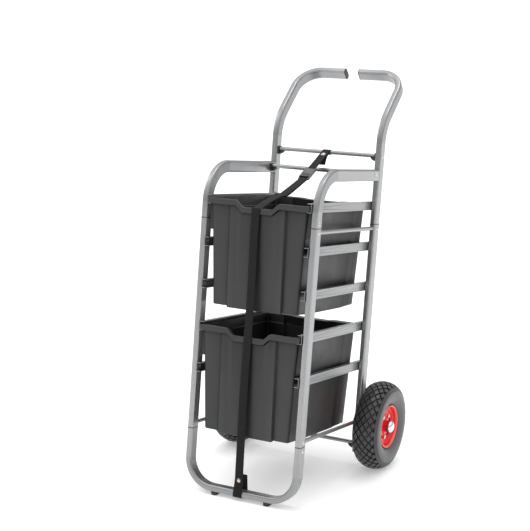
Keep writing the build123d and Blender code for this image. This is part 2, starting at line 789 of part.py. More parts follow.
def all_nodes():
    """Every piece of the trolley by name, before it is leaned back."""
    nodes = {}
    hoop = bent_tube(hoop_path())
    for y, z in joint_screw_places:
        hole = side_hole(y, z, screw_radius, screw_grip + 1)
        if y == 0 and z < lower_joint:
            hoop = hoop - hole - mirrored(hole)
    nodes["base_hoop"] = hoop

    axle_start = (0, post_pitch, axle_height)
    axle_bore = rod_between(axle_start, (outer_face, post_pitch, axle_height), axle_radius)
    rear_post = straight_tube(post_pitch, rear_post_end, upper_joint - half_gap) - axle_bore
    right_tubes = {
        "front_post": straight_tube(0, lower_joint + half_gap, upper_joint - half_gap),
        "rear_post": rear_post,
        "top_rail": bent_tube(top_rail_path()),
        "handle": bent_tube(handle_path()),
    }
    for name, tube in right_tubes.items():
        tube = drilled(tube)
        nodes["left_" + name] = mirrored(tube)
        nodes["right_" + name] = tube

    spigots = []
    for y, z in joint_places:
        sleeve = spigot(y, z)
        for step in (-screw_from_ring, screw_from_ring):
            sleeve -= side_hole(y, z + step, screw_radius, screw_grip + 1)
        spigots.append(sleeve)
    rings = [joint_ring(y, z) for y, z in joint_places]
    screws = [side_screw(y, z) for y, z in joint_screw_places]
    rivets = [runner_rivet(y, z) for y, z in rivet_places]
    sockets = [bar_socket(y, z) for y, z in bar_places.values()]
    bar_screws = [bar_screw(y, z) for y, z in bar_places.values()]
    rods = [side_rod(upper_joint - rod_offset), side_rod(lower_joint + rod_offset)]
    grip_x = (0, math.cos(handle_angle), -math.sin(handle_angle))
    grip_end = Plane(origin=handle_path() @ 1, z_dir=(-1, 0, 0), x_dir=grip_x)
    post_end = (side_plane, post_pitch, rear_post_end)
    post_end = Plane(origin=post_end, z_dir=(0, 0, -1), x_dir=(0, 1, 0))
    caps = [end_cap(grip_end), end_cap(post_end)]
    for name, pieces in (
        ("joint_spigots", spigots),
        ("joint_rings", rings),
        ("joint_screws", screws),
        ("runner_rivets", rivets),
        ("crossbar_sockets", sockets),
        ("crossbar_screws", bar_screws),
        ("side_rods", rods),
        ("tube_end_caps", caps),
    ):
        nodes[name] = group(pieces + [mirrored(piece) for piece in pieces])

    for name, (y, z) in bar_places.items():
        nodes[name] = crossbar(y, z)
    foot_x = side_plane - hoop_bend - foot_length / 2
    nodes["rubber_feet"] = group([foot(foot_x), foot(-foot_x)])
    for number, height in enumerate(runner_heights, 1):
        channel = runner(height)
        nodes["left_runner_%d" % number] = mirrored(channel)
        nodes["right_runner_%d" % number] = channel

    wheel_pieces = {
        "tyre": tyre(),
        "inner_tube": inner_tube(),
        "rim_outer": rim_half(1),
        "rim_inner": rim_half(-1),
        "rim_bolts": rim_bolts(),
        "bearings": bearings(),
        "stub_axle": stub_axle(),
    }
    for name, piece in wheel_pieces.items():
        placed = at_wheel(piece)
        nodes["left_" + name] = mirrored(placed)
        nodes["right_" + name] = placed
    for name, piece in (("axle_spacers", axle_spacer()), ("hub_caps", hub_cap())):
        placed = at_wheel(piece)
        nodes[name] = group([placed, mirrored(placed)])

    for name, number in zip(("upper_tray", "lower_tray"), tray_runners):
        nodes[name] = tray(tray_rim_height(number))

    nodes["strap_top"] = top_strap()
    nodes["buckle_frame"] = buckle_frame()
    nodes["buckle_pin"] = buckle_pin()
    nodes["buckle_lever"] = buckle_lever()
    nodes["strap_over_tray"] = tray_strap()
    high_run = [(run_y, seam_z - seam_gap), (run_y, elbow_height + seam_gap)]
    nodes["strap_upper_run"] = ribbon(high_run, None)
    low_run = [(run_y, elbow_height - seam_gap), (hoop_y, foot_loop_top)]
    nodes["strap_lower_run"] = ribbon(low_run, None)
    nodes["strap_foot_loop"] = foot_loop()
    stud_at = along_strap(top_stud_at, strap_sheet / 2)
    nodes["top_press_stud"] = stud((0, stud_at[0], stud_at[1]), (0, upward[0], upward[1]))
    run_slope = Vector(0, hoop_y - run_y, foot_loop_top - elbow_height + seam_gap).normalized()
    outward = Vector(0, run_slope.Z, -run_slope.Y)
    stud_centre = Vector(0, hoop_y, foot_loop_top) - run_slope * foot_stud_rise
    stud_centre = stud_centre + outward * (strap_sheet / 2)
    nodes["foot_press_stud"] = stud(stud_centre, outward)
    return nodes


def leaned(nodes):
    """The trolley leaned back, with its origin under the middle of its bounding box."""
    tilted = {name: Rot(-lean_angle, 0, 0) * piece for name, piece in nodes.items()}
    boxes = [piece.bounding_box() for piece in tilted.values()]
    front = min(box.min.Y for box in boxes)
    back = max(box.max.Y for box in boxes)
    shift = -(front + back) / 2
    print("shift along Y %.3f, top at %.1f" % (shift, max(box.max.Z for box in boxes)))
    return {name: Pos(0, shift, 0) * piece for name, piece in tilted.items()}


os.makedirs("parts", exist_ok=True)
for node_name, node_shape in leaned(all_nodes()).items():
    export_step(node_shape, "parts/%s.step" % node_name)
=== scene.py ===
import json
import math

import bmesh
import bpy
from mathutils import Matrix, Vector


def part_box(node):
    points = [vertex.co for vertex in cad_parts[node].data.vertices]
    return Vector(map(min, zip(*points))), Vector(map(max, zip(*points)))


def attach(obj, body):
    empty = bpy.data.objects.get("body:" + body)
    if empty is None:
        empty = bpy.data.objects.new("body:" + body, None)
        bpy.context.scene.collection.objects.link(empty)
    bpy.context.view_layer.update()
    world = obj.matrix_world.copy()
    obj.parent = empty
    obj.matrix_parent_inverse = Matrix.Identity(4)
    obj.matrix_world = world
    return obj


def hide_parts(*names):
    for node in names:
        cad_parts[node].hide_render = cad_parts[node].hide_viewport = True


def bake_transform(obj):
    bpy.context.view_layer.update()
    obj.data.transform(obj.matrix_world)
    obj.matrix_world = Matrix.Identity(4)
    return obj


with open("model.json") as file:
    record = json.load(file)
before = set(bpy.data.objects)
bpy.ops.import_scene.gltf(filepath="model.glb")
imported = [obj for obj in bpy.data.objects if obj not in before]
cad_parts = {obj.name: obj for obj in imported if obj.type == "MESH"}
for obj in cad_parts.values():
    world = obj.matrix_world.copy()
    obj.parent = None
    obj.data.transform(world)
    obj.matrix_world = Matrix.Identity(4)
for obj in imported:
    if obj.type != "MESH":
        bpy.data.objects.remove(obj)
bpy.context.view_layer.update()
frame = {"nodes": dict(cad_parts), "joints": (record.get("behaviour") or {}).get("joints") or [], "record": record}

# A two-tray hand trolley.  The CAD tubes, bars and small parts stay; the trays, tyres, outer
# rims, hub caps, strap, buckle, studs and screws are built here in finer shape.
# Lengths are in metres.  "Own directions" are the trolley's before it leans back: X across,
# Y from the front posts to the rear posts, Z along the posts.

# ---- the trolley's own directions ----
POST_PITCH = 0.3946
HANDLE_BAR_HEIGHT = 0.972
SIDES = (("left", -1), ("right", 1))


def joint(name):
    return next(row for row in frame["joints"] if row["name"] == name)


def middle(node):
    low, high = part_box(node)
    return (low + high) / 2


slide_axis = joint("upper_tray_slide")["axis"]
LEAN = math.atan2(slide_axis[2], -slide_axis[1])
TILT = Matrix.Rotation(-LEAN, 4, "X")
BAR_CENTRE = Vector((0, POST_PITCH, HANDLE_BAR_HEIGHT))
LEANED = Matrix.Translation(middle("handle_crossbar") - TILT @ BAR_CENTRE) @ TILT
UPRIGHT = LEANED.inverted()


def own_box(node):
    """Lowest and highest corner of a CAD node in the trolley's own directions."""
    places = [UPRIGHT @ vertex.co for vertex in frame["nodes"][node].data.vertices]
    low = Vector([min(place[axis] for place in places) for axis in range(3)])
    high = Vector([max(place[axis] for place in places) for axis in range(3)])
    return low, high


# ---- materials ----
class Finish:
    """A procedural material: one Principled shader with layers of texture."""

    def __init__(self, name, **sockets):
        self.material = bpy.data.materials.new(name)
        self.material.use_nodes = True
        self.tree = self.material.node_tree
        self.shader = self.tree.nodes["Principled BSDF"]
        for socket, value in sockets.items():
            self.shader.inputs[socket.replace("_", " ")].default_value = value
        self.place = self.node("ShaderNodeTexCoord").outputs["Object"]
        self.last_bump = None

    def node(self, kind, links=(), **settings):
        made = self.tree.nodes.new(kind)
        for name, value in settings.items():
            setattr(made, name, value)
        for socket, value in dict(links).items():
            if isinstance(value, bpy.types.NodeSocket):
                self.tree.links.new(value, made.inputs[socket])
            else:
                made.inputs[socket].default_value = value
        return made

    def noise(self, scale, detail=2.0, stretch=None):
        place = self.place
        if stretch:
            place = self.node("ShaderNodeMapping", {"Vector": place, "Scale": stretch}).outputs[0]
        links = {"Vector": place, "Scale": scale, "Detail": detail}
        return self.node("ShaderNodeTexNoise", links).outputs[0]

    def spread(self, value, low, high, dark, light):
        """A value between low and high, stretched to run from dark to light."""
        links = {"Value": value, "From Min": low, "From Max": high, "To Min": dark, "To Max": light}
        return self.node("ShaderNodeMapRange", links).outputs[0]

    def math(self, operation, first, second=0.0):
        return self.node("ShaderNodeMath", {0: first, 1: second}, operation=operation).outputs[0]

    def over(self, share, colour):
        """Lays a colour over the base colour so far, by share."""
        mix = self.node("ShaderNodeMix", {0: share, 7: (*colour, 1)}, data_type="RGBA")
        base = self.shader.inputs["Base Color"]
        if base.is_linked:
            self.tree.links.new(base.links[0].from_socket, mix.inputs[6])
        else:
            mix.inputs[6].default_value = base.default_value
        self.tree.links.new(mix.outputs[2], base)

    def mottle(self, value, low, high, first, second):
        """Base colour from first to second as a value runs from low to high."""
        self.shader.inputs["Base Color"].default_value = (*first, 1)
        self.over(self.spread(value, low, high, 0, 1), second)

    def painted_shade(self, reach, dark):
        """Painted shade: darkens the base colour where other surfaces are closer than reach."""
        occlusion = self.node("ShaderNodeAmbientOcclusion", {"Distance": reach}, samples=8)
        self.over(self.spread(occlusion.outputs["AO"], 0.45, 0.95, 0.9, 0.0), dark)

    def lighter_edges(self, amount, colour, low=0.51, high=0.60):
        """Lays a colour along convex edges, by no more than amount."""
        sharp = self.node("ShaderNodeNewGeometry").outputs["Pointiness"]
        self.over(self.spread(sharp, low, high, 0, amount), colour)

    def lay_pale_and_sheen(self, colour):
        """Lays a pale colour where the mesh's mask attribute is above 0: painted highlight and sheen."""
        self.over(self.node("ShaderNodeAttribute", attribute_name="pale_and_sheen").outputs["Fac"], colour)

    def rough(self, value, low, high, smooth, dull):
        """Roughness from smooth to dull as a value runs from low to high."""
        links = self.tree.links
        links.new(self.spread(value, low, high, smooth, dull), self.shader.inputs["Roughness"])

    def bump(self, height, distance, strength):
        """Adds relief on top of the relief so far."""
        links = {"Height": height, "Distance": distance, "Strength": strength}
        made = self.node("ShaderNodeBump", links)
        if self.last_bump:
            self.tree.links.new(self.last_bump, made.inputs["Normal"])
        self.last_bump = made.outputs[0]
        self.tree.links.new(self.last_bump, self.shader.inputs["Normal"])
        return self


def powder_coat():
    """Silver-grey powder coat: fine orange peel with metal flakes and slightly rubbed edges, with painted shade
    round screws and joints.
    """
    paint = Finish("frame_paint", Metallic=0.75, Coat_Weight=0.12)
    paint.mottle(paint.noise(2600, 1.0), 0.35, 0.65, (0.245, 0.25, 0.255), (0.31, 0.315, 0.32))
    # painted shade: darker round the screws, joints and sockets
    paint.painted_shade(0.003, (0.10, 0.102, 0.105))
    paint.lighter_edges(0.25, (0.56, 0.565, 0.57))
    paint.rough(paint.noise(9, 4.0, (1, 1, 0.3)), 0.3, 0.7, 0.25, 0.36)
    return paint.bump(paint.noise(900), 0.00006, 0.5)


def zinc():
    """Zinc plating: bright, with faint passivated clouds and a fine grain."""
    metal = Finish("zinc_steel", Metallic=1.0)
    metal.mottle(metal.noise(160, 3.0), 0.4, 0.65, (0.66, 0.66, 0.65), (0.56, 0.55, 0.49))
    metal.rough(metal.noise(700), 0.3, 0.7, 0.2, 0.38)
    return metal.bump(metal.noise(1800, 1.0), 0.00002, 0.4)


def turned_steel(name, grey):
    """Plain steel with fine turning lines."""
    metal = Finish(name, Metallic=1.0)
    lines = metal.noise(120, 2.0, (1, 14, 14))
    metal.mottle(lines, 0.35, 0.65, (grey * 0.8,) * 3, (grey,) * 3)
    metal.rough(lines, 0.3, 0.7, 0.24, 0.4)
    return metal.bump(lines, 0.00002, 0.3)


def chrome(name, colour):
    """Bright plate with faint polishing haze."""
    metal = Finish(name, Metallic=1.0)
    haze = metal.noise(220, 4.0)
    metal.mottle(haze, 0.45, 0.7, colour, [value * 0.9 for value in colour])
    metal.rough(haze, 0.35, 0.75, 0.05, 0.16)
    return metal.bump(metal.noise(500, 1.0), 0.00001, 0.2)


def red_paint():
    """Gloss red enamel with slight orange peel, and a painted highlight on the rolled lip."""
    paint = Finish("rim_paint", Coat_Weight=0.15, Coat_Roughness=0.1)
    paint.mottle(paint.noise(60, 3.0), 0.35, 0.7, (0.84, 0.012, 0.022), (0.74, 0.008, 0.015))
    # a painted highlight on the rolled lip
    paint.lay_pale_and_sheen((0.90, 0.17, 0.12))
    paint.rough(paint.noise(300), 0.3, 0.7, 0.26, 0.4)
    return paint.bump(paint.noise(700), 0.00005, 0.4)


def tyre_rubber():
    """Black rubber with a grey bloom and a fine moulded skin, its side walls greyer with a painted sheen, and
    painted shade in the tread grooves.
    """
    rubber = Finish("tyre_rubber")
    dark, bloom = (0.007, 0.007, 0.0073), (0.018, 0.018, 0.0184)
    rubber.mottle(rubber.noise(26, 5.0), 0.4, 0.75, dark, bloom)
    rubber.lighter_edges(0.35, (0.11, 0.11, 0.108), 0.52, 0.62)
    # side walls: greyer rubber, made paler still as a painted sheen
    rubber.lay_pale_and_sheen((0.090, 0.091, 0.090))
    # painted shade: darker in the tread grooves and between the blocks
    rubber.painted_shade(0.007, (0.003,) * 3)
    rubber.rough(rubber.noise(90, 4.0), 0.3, 0.7, 0.33, 0.46)
    return rubber.bump(rubber.noise(1500), 0.00005, 0.5)


def plain_rubber(name):
    """Matt black rubber with a slight bloom."""
    rubber = Finish(name)
    bloom = rubber.noise(120, 4.0)
    rubber.mottle(bloom, 0.4, 0.7, (0.016,) * 3, (0.034, 0.034, 0.033))
    rubber.rough(bloom, 0.3, 0.7, 0.6, 0.8)
    return rubber.bump(rubber.noise(1300), 0.00008, 0.5)


def tray_plastic():
    """Charcoal polypropylene: satin, fine grain, faint flow clouds, paler along convex edges, with painted shade
    under the rim and where surfaces come close.
    """
    plastic = Finish("tray_plastic", Specular_IOR_Level=0.32)
    clouds = plastic.noise(5, 5.0, (1, 1, 0.5))
    plastic.mottle(clouds, 0.35, 0.7, (0.028, 0.0285, 0.029), (0.035, 0.0355, 0.036))
    # painted shade: darker under the rim, in the hollows and between trays and frame
    plastic.painted_shade(0.060, (0.004,) * 3)
    # paler along convex edges
    plastic.lighter_edges(0.45, (0.12, 0.121, 0.122), 0.515, 0.62)
    plastic.rough(plastic.noise(14, 5.0), 0.3, 0.7, 0.36, 0.5)
    return plastic.bump(plastic.noise(1700), 0.00006, 0.5)


def moulded(name, grey, roughness):
    """Small moulded plastic part with a fine spark-eroded skin."""
    plastic = Finish(name)
    clouds = plastic.noise(70, 3.0)
    plastic.mottle(clouds, 0.4, 0.7, (grey,) * 3, (grey * 1.5 + 0.004,) * 3)
    plastic.lighter_edges(0.35, (grey + 0.07,) * 3)
    plastic.rough(clouds, 0.3, 0.7, roughness - 0.06, roughness + 0.08)
    return plastic.bump(plastic.noise(1500), 0.00006, 0.5)


RIB_PITCH = 0.0022
WEFT_PITCH = 0.0016
WEAVE_RANGE = (-1.4, 1.4)


def webbing():
    """Woven strap: diagonal twill ribs crossed by the weft, with slight fuzz."""
    cloth = Finish("webbing", Sheen_Weight=0.04, Specular_IOR_Level=0.2)
    where = cloth.node("ShaderNodeUVMap", uv_map="weave").outputs[0]
    across, along = cloth.node("ShaderNodeSeparateXYZ", {0: where}).outputs[:2]
    slanted = cloth.math("ADD", along, cloth.math("ABSOLUTE", across))
    ribs = cloth.math("SINE", cloth.math("MULTIPLY", slanted, 2 * math.pi / RIB_PITCH))
    wefts = cloth.math("SINE", cloth.math("MULTIPLY", across, 2 * math.pi / WEFT_PITCH))
    weave = cloth.math("ADD", ribs, cloth.math("MULTIPLY", wefts, 0.6))
    cloth.mottle(weave, *WEAVE_RANGE, (0.003,) * 3, (0.013, 0.013, 0.0135))
    fuzz = cloth.noise(2400)
    cloth.over(cloth.spread(fuzz, 0.6, 0.8, 0, 0.3), (0.03, 0.03, 0.031))
    cloth.rough(weave, *WEAVE_RANGE, 0.86, 0.62)
    cloth.bump(weave, 0.00022, 0.7)
    return cloth.bump(fuzz, 0.00010, 0.4)


def thread():
    """Sewing thread: twisted plies."""
    yarn = Finish("thread", Roughness=0.6, Sheen_Weight=0.2)
    plies = yarn.noise(3000, 1.0)
    yarn.mottle(plies, 0.3, 0.7, (0.02, 0.02, 0.022), (0.06, 0.06, 0.062))
    return yarn.bump(plies, 0.0001, 0.6)


FINISHES = {
    "frame_paint": powder_coat(),
    "zinc_steel": zinc(),
    "tyre_rubber": tyre_rubber(),
    "inner_tube_rubber": plain_rubber("inner_tube_rubber"),
    "rim_paint": red_paint(),
    "bearing_steel": turned_steel("bearing_steel", 0.45),
    "hub_chrome": chrome("hub_chrome", (0.80, 0.81, 0.82)),
    "stud_metal": chrome("stud_metal", (0.58, 0.47, 0.41)),
    "tray_plastic": tray_plastic(),
    "webbing": webbing(),
    "buckle_plastic": moulded("buckle_plastic", 0.075, 0.38),
    "black_plastic": moulded("black_plastic", 0.016, 0.42),
    "foot_rubber": plain_rubber("foot_rubber"),
    "sleeve_steel": turned_steel("sleeve_steel", 0.40),
    "thread": thread(),
}


# ---- mesh helpers ----
def placed(name, data):
    """A new object in the scene."""
    made = bpy.data.objects.new(name, data)
    bpy.context.scene.collection.objects.link(made)
    return made


def piece(name, mesh, body, slot, replaces=(), sharp=30, finish=None):
    """A finished object from a mesh, riding on a CAD body."""
    made = placed(name, mesh)
    mesh.materials.clear()
    mesh.materials.append(FINISHES[finish or slot].material)
    for face in mesh.polygons:
        face.use_smooth = True
    mesh.set_sharp_from_angle(angle=math.radians(sharp))
    if body:
        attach(made, body)
    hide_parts(*replaces)
    return made


def bevel(made, width, angle=30):
    """Soft edges, as a modifier."""
    soft = made.modifiers.new("soft_edges", "BEVEL")
    soft.width = width
    soft.segments = 2
    soft.limit_method = "ANGLE"
    soft.angle_limit = math.radians(angle)
    soft.harden_normals = True


def to_mesh(name, shape, place=None):
    """A mesh from a bmesh, placed and with its faces turned outward."""
    bmesh.ops.recalc_face_normals(shape, faces=shape.faces)
    if place is not None:
        bmesh.ops.transform(shape, matrix=place, verts=shape.verts)
    mesh = bpy.data.meshes.new(name)
    shape.to_mesh(mesh)
    shape.free()
    return mesh


def add_block(shape, low, high):
    """A block between two corners, added to a bmesh."""
    size = Vector(high) - Vector(low)
    centre = (Vector(high) + Vector(low)) / 2
    place = Matrix.Translation(centre) @ Matrix.Diagonal((*size, 1))
    bmesh.ops.create_cube(shape, size=1, matrix=place)


def join_rows(shape, first, second, closed=True):
    """Faces between two rows of corners."""
    count = len(first)
    for index in range(count if closed else count - 1):
        after = (index + 1) % count
        shape.faces.new((first[index], first[after], second[after], second[index]))


def join_rings(shape, rings, closed=True):
    """Faces between rings of places, one after another; gives back the rows of corners."""
    rows = [[shape.verts.new(place) for place in ring] for ring in rings]
    for first, second in zip(rows, rows[1:]):
        join_rows(shape, first, second, closed)
    return rows


def close_ends(shape, rows):
    shape.faces.new(rows[0][::-1])
    shape.faces.new(rows[-1])


def add_prism(shape, outline, low, high, axis=0):
    """An outline in the two other directions, drawn out along one axis from low to high."""
    rings = []
    for depth in (low, high):
        ring = [list(place) for place in outline]
        for corner in ring:
            corner.insert(axis, depth)
        rings.append(ring)
    close_ends(shape, join_rings(shape, rings))


def lathe(shape, outline, segments=96, closed=True):
    """An outline of (distance along X, radius) turned about the X axis."""
    rings = []
    for step in range(segments):
        angle = 2 * math.pi * step / segments
        rings.append([(x, r * math.sin(angle), r * math.cos(angle)) for x, r in outline])
    rows = join_rings(shape, rings, closed)
    join_rows(shape, rows[-1], rows[0], closed)


def arc_through(start, via, end, count):
    """Points from start to end on the circle through three points of a plane."""
    (ax, ay), (bx, by), (cx, cy) = start, via, end
    twice = 2 * (ax * (by - cy) + bx * (cy - ay) + cx * (ay - by))
    a2, b2, c2 = ax * ax + ay * ay, bx * bx + by * by, cx * cx + cy * cy
    ux = (a2 * (by - cy) + b2 * (cy - ay) + c2 * (ay - by)) / twice
    uy = (a2 * (cx - bx) + b2 * (ax - cx) + c2 * (bx - ax)) / twice
    first = math.atan2(ay - uy, ax - ux)
    turns = []
    for x, y in ((bx, by), (cx, cy)):
        turns.append((math.atan2(y - uy, x - ux) - first) % (2 * math.pi))
    total = turns[1] if turns[0] < turns[1] else turns[1] - 2 * math.pi
    radius = math.hypot(ax - ux, ay - uy)
    points = []
    for step in range(count + 1):
        angle = first + total * step / count
        points.append((ux + radius * math.cos(angle), uy + radius * math.sin(angle)))
    return points


def rounded(points, radii, arc_steps=8):
    """A line through points of a plane, with its corners rounded."""
    places = [Vector(point) for point in points]
    line = [places[0]]
    for before, corner, after, radius in zip(places, places[1:], places[2:], radii):
        back, ahead = (before - corner).normalized(), (after - corner).normalized()
        room = min((before - corner).length, (after - corner).length) / 2
        reach = min(radius / math.tan(back.angle(ahead) / 2), room)
        start, end = corner + back * reach, corner + ahead * reach
        for step in range(arc_steps + 1):
            share = step / arc_steps
            line.append(start.lerp(corner, share).lerp(corner.lerp(end, share), share))
    return line + [places[-1]]


def resampled(line, spacing):
    """The same line with evenly spaced points."""
    lengths = [0.0]
    for first, second in zip(line, line[1:]):
        lengths.append(lengths[-1] + (second - first).length)
    count = max(2, round(lengths[-1] / spacing))
    points, segment = [], 0
    for step in range(count + 1):
        target = lengths[-1] * step / count
        while segment < len(line) - 2 and lengths[segment + 1] < target:
            segment += 1
        span = lengths[segment + 1] - lengths[segment]
        share = (target - lengths[segment]) / span if span else 0
        points.append(line[segment].lerp(line[segment + 1], min(1, max(0, share))))
    return points


# ---- trays ----
TRAY_WALL = 0.0025
RIM_WIDTH = 0.009
RIM_HEIGHT = 0.0154
RIM_CORNER = 0.006
BODY_CORNER = 0.010
REAR_OVERHANG = 0.035
BASE_NARROWER = 0.014          # each side of the base inside the body at the rim
BASE_SETBACK = 0.016           # front of the base inside the body at the rim
PILLAR_FOOT = 0.004            # corner pillars end this far above the base
DIP_DEPTHS = (0.018, 0.0025)   # front and rear
DIP_FLAT = 0.023               # a station on the dip's flat bottom
DIP_FLANK = (0.044, 0.068)     # each flank runs between these distances from the middle
DIP_STEPS = 8
PANEL_EDGE = 0.083             # raised end panels reach this far either side of the middle
PANEL_DEPTH = 0.0060
PANEL_STEP = 0.0040
PANEL_GROOVE = 0.0012          # depth of the groove along each edge of an end panel
SIDE_PILLARS = (0.101, 0.319)  # inner edges of the side pillars, behind the tray's front
EDGE = 0.0012
CORNER_STEPS = 6
FIN_FRONT = 0.0215
FIN_SHEET = 0.003
FIN_WIDTH = 0.0156
FIN_INSET = 0.0004
FIN_TOP = -0.0035
FIN_BOTTOM = -0.088


def dip_at(x, depth):
    """How far the rim drops at a distance from the middle, in a smooth S."""
    near, far = DIP_FLANK
    share = min(1, max(0, (far - abs(x)) / (far - near)))
    smooth = share * share * (3 - 2 * share)
    return depth * (0.45 * share + 0.55 * smooth)


def end_stations():
    """Distances from the middle of a tray's end where its ring of places has a corner."""
    near, far = DIP_FLANK
    flank = [near + (far - near) * step / DIP_STEPS for step in range(DIP_STEPS + 1)]
    groove = PANEL_EDGE + PANEL_STEP
    right = [0.0, DIP_FLAT, *flank, PANEL_EDGE, groove, groove + PANEL_STEP * 0.8]
    return [-x for x in reversed(right[1:])] + right


def tray_ring(width, front, rear, corner, z, panel=1.0, dip=0.0, foot=0.0):
    """One turn round a tray at height z, half width across, between front and rear."""
    depth = PANEL_DEPTH * panel
    ring = []

    def turn(centre_x, centre_y, start):
        for step in range(CORNER_STEPS + 1):
            angle = start + math.pi / 2 * step / CORNER_STEPS
            x = centre_x + corner * math.cos(angle)
            ring.append((x, centre_y + corner * math.sin(angle), z + foot))

    def end_side(y, direction):
        drop = DIP_DEPTHS[0 if direction > 0 else 1]
        for x in end_stations():
            panel_here = abs(x) <= PANEL_EDGE
            in_groove = abs(abs(x) - PANEL_EDGE - PANEL_STEP) < 0.0001
            proud = depth if panel_here else -PANEL_GROOVE * panel if in_groove else 0
            height = z - dip * dip_at(x, drop) + (0 if panel_here else foot)
            ring.append((x * direction, y - proud * direction, height))

    def long_side(x, direction):
        near, far = SIDE_PILLARS
        stations = [near, near + PANEL_STEP, (near + far) / 2, far - PANEL_STEP, far]
        for index, y in enumerate(stations[::direction]):
            inside = 0 < index < 4
            sunk = depth * 0.4 if inside else 0
            ring.append((x - sunk * direction, y, z + (0 if inside else foot)))

    end_side(front, 1)
    turn(width - corner, front + corner, -math.pi / 2)
    long_side(width, 1)
    turn(width - corner, rear - corner, 0)
    end_side(rear, -1)
    turn(-width + corner, rear - corner, math.pi / 2)
    long_side(-width, -1)
    turn(-width + corner, front + corner, math.pi)
    return ring


def body_ring(size, z, inset=0.0, panel=1.0, dip=0.0, foot=0.0):
    """A turn round the tapered body, z below the rim's top, made smaller by inset."""
    share = -z / size.z
    front = RIM_WIDTH + BASE_SETBACK * share + inset
    rear = size.y - REAR_OVERHANG - inset
    width = size.x / 2 - RIM_WIDTH - BASE_NARROWER * share - inset
    return tray_ring(width, front, rear, max(0.003, BODY_CORNER - inset), z, panel, dip, foot)


def rim_ring(size, z, inset=0.0):
    return tray_ring(size.x / 2 - inset, inset, size.y - inset, RIM_CORNER - inset, z, 0, 1)


def tray_shape(size):
    """The moulded tray, its front rim at Y 0 and its rim's top at Z 0."""
    round_base = 0.002
    ledge = 0.026                  # the wall is thicker inside, from here down
    floor = -size.z + TRAY_WALL + PILLAR_FOOT
    rings = [
        body_ring(size, -size.z, inset=round_base * 1.5, foot=PILLAR_FOOT),
        body_ring(size, -size.z + round_base * 0.5, inset=round_base * 0.4, foot=PILLAR_FOOT),
        body_ring(size, -size.z + round_base * 1.5, foot=PILLAR_FOOT),
        body_ring(size, -RIM_HEIGHT - 0.004, dip=1),
        body_ring(size, -RIM_HEIGHT * 0.4, panel=0, dip=1),
        body_ring(size, -TRAY_WALL - 0.001, panel=0, dip=1),
        rim_ring(size, -TRAY_WALL - 0.001, inset=TRAY_WALL),
        rim_ring(size, -RIM_HEIGHT, inset=TRAY_WALL),
        rim_ring(size, -RIM_HEIGHT),
        rim_ring(size, -EDGE),
        rim_ring(size, 0, inset=EDGE),
        body_ring(size, 0, inset=TRAY_WALL - EDGE, panel=0, dip=1),
        body_ring(size, -EDGE, inset=TRAY_WALL, panel=0, dip=1),
        body_ring(size, -ledge, inset=TRAY_WALL, dip=1),
        body_ring(size, -ledge - 0.0015, inset=TRAY_WALL + 0.0016, dip=1),
        body_ring(size, floor + 0.012, inset=TRAY_WALL + 0.0010),
        body_ring(size, floor + 0.004, inset=TRAY_WALL + 0.0030),
        body_ring(size, floor, inset=TRAY_WALL + 0.011),
    ]
    shape = bmesh.new()
    close_ends(shape, join_rings(shape, rings))
    return shape


def tray_fin(shape, size, side):
    """The fin under the rim at a front corner, its lower corner rounded into the body."""
    outer = size.x / 2 - FIN_INSET
    inner = outer - FIN_WIDTH
    corners = [(inner, FIN_TOP), (outer, FIN_TOP), (outer, FIN_BOTTOM), (inner, FIN_BOTTOM)]
    outline = [(side * x, z) for x, z in rounded(corners, [0.001, 0.007])]
    add_prism(shape, outline, FIN_FRONT, FIN_FRONT + FIN_SHEET, axis=1)


def tray(node):
    low, high = own_box(node)
    size = high - low
    shape = tray_shape(size)
    for _, side in SIDES:
        tray_fin(shape, size, side)
    place = LEANED @ Matrix.Translation((0, low.y, high.z))
    made = piece(node + "_shell", to_mesh(node, shape, place), node, "tray_plastic", [node])
    bevel(made, 0.0007)


for tray_node in ("upper_tray", "lower_tray"):
    tray(tray_node)


# ---- wheels, in a frame with X outward along the axle ----
TREAD_ROWS = 7
TREAD_BLOCKS = 30
GROOVE_DEPTH = 0.0048
GROOVE_WIDTH = 0.0042
CROWN_ARC_RADIUS = 0.0542
CROWN_STEPS = 12
SHOULDER = (0.034, 0.118)
BEAD = (0.028, 0.0633)
TYRE_BORE = ((0.028, 0.0600), (0.017, 0.0606), (0.017, 0.0680))
WALL_RIB = (0.0695, 0.0735)     # radii of the raised ring near the rim
WALL_GROOVE = (0.1065, 0.1105)  # radii of the groove under the shoulder
# side walls inside this radius are greyer rubber with a painted sheen
GREY_AND_SHEEN_WALL_RADIUS = 0.1070
RIM_HOLES = 5
RIM_HOLE_CIRCLE = 0.0365
RIM_HOLE_RADIUS = 0.0056
HUB_CAP_HEIGHT = 0.0160


def wheel_place(side_name, side):
    """From the wheel's own frame to its place: X outward."""
    centre = middle(side_name + "_tyre")
    return Matrix.Translation(centre) @ Matrix.Diagonal((side, 1, 1, 1))


def mark_pale_and_sheen(made, place, is_pale_and_sheen):
    """Writes the mask of painted highlight and sheen: 1 where the test of (X, radius) holds in the wheel's own
    frame, 0 elsewhere.
    """
    back = place.inverted()
    pale_and_sheen = made.data.attributes.new("pale_and_sheen", "FLOAT", "POINT")
    for vertex, item in zip(made.data.vertices, pale_and_sheen.data):
        own = back @ vertex.co
        item.value = is_pale_and_sheen(own.x, math.hypot(own.y, own.z))


def on_tread(around, across, rise, wheel_radius):
    """A place on the crowned tread: distances around and across, and a rise over it."""
    phi = across / CROWN_ARC_RADIUS
    reach = CROWN_ARC_RADIUS + rise
    radius = wheel_radius - CROWN_ARC_RADIUS + reach * math.cos(phi)
    angle = around / wheel_radius
    return (reach * math.sin(phi), radius * math.sin(angle), radius * math.cos(angle))


